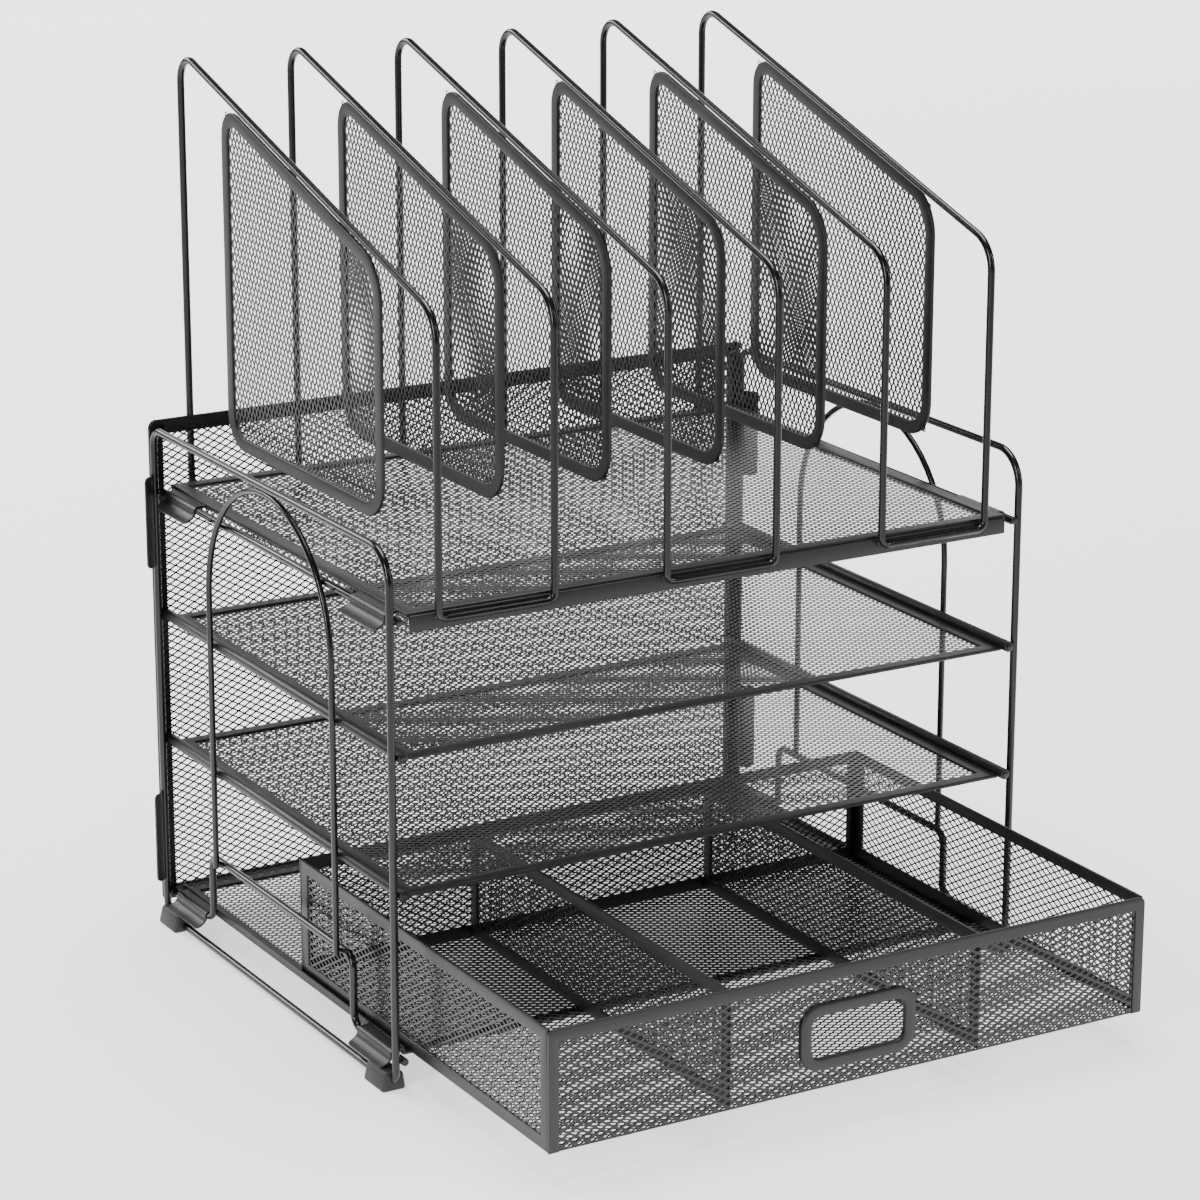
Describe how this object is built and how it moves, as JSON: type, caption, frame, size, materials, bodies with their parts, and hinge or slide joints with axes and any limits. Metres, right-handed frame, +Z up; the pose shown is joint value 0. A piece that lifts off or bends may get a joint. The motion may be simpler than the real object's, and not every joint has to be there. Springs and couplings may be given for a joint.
{
  "type": "desk organizer",
  "caption": "Wire and mesh desk organizer with an upright file sorter on top, paper trays below and a sliding compartment drawer at the base.",
  "frame": {"origin": "bottom centre of the whole object with the drawer drawn out as in the picture, on the surface it stands on", "axes": "+Z up, -Y towards the front where the drawer comes out, +X to the right seen from the front"},
  "size_m": [0.346, 0.3722, 0.4269],
  "materials": {
    "black_wire": "satin black powder coat",
    "black_sheet": "satin black powder coat",
    "black_mesh": "satin black powder coat on expanded mesh",
    "foot_cap": "matte black moulded plastic"
  },
  "bodies": {
    "organizer": {"back_panel_clips": "black_sheet", "back_panel_frame": "black_sheet", "back_panel_mesh": "black_mesh", "base_shelf_hooks": "black_sheet", "base_shelf_mesh": "black_mesh", "base_shelf_rim": "black_sheet", "front_left_foot": "foot_cap", "front_right_foot": "foot_cap", "left_arch": "black_wire", "left_base_rail": "black_wire", "left_frame_loop": "black_wire", "left_lower_tray_rod": "black_wire", "left_shelf_wire": "black_wire", "left_upper_tray_rod": "black_wire", "lower_tray_mesh": "black_mesh", "lower_tray_rim": "black_sheet", "rear_left_foot": "foot_cap", "rear_right_foot": "foot_cap", "right_arch": "black_wire", "right_base_rail": "black_wire", "right_frame_loop": "black_wire", "right_lower_tray_rod": "black_wire", "right_shelf_wire": "black_wire", "right_upper_tray_rod": "black_wire", "sorter_front_bar": "black_sheet", "sorter_loop_1": "black_wire", "sorter_loop_2": "black_wire", "sorter_loop_3": "black_wire", "sorter_panel_frame_1": "black_sheet", "sorter_panel_frame_2": "black_sheet", "sorter_panel_frame_3": "black_sheet", "sorter_panel_frame_4": "black_sheet", "sorter_panel_frame_5": "black_sheet", "sorter_panel_frame_6": "black_sheet", "sorter_panel_mesh_1": "black_mesh", "sorter_panel_mesh_2": "black_mesh", "sorter_panel_mesh_3": "black_mesh", "sorter_panel_mesh_4": "black_mesh", "sorter_panel_mesh_5": "black_mesh", "sorter_panel_mesh_6": "black_mesh", "top_shelf_hooks": "black_sheet", "top_shelf_mesh": "black_mesh", "top_shelf_rim": "black_sheet", "upper_tray_mesh": "black_mesh", "upper_tray_rim": "black_sheet"},
    "drawer": {"drawer_floor_mesh": "black_mesh", "drawer_front_frame": "black_sheet", "drawer_front_mesh": "black_mesh", "drawer_left_frame": "black_sheet", "drawer_left_mesh": "black_mesh", "drawer_left_partition_frame": "black_sheet", "drawer_left_partition_mesh": "black_mesh", "drawer_pull": "black_sheet", "drawer_rear_frame": "black_sheet", "drawer_rear_mesh": "black_mesh", "drawer_right_frame": "black_sheet", "drawer_right_mesh": "black_mesh", "drawer_right_partition_frame": "black_sheet", "drawer_right_partition_mesh": "black_mesh"}
  },
  "joints": [
    {"name": "drawer_slide", "type": "slide", "parent": "organizer", "child": "drawer", "axis": [0, -1, 0], "range_m": [-0.12, 0.06]}
  ]
}
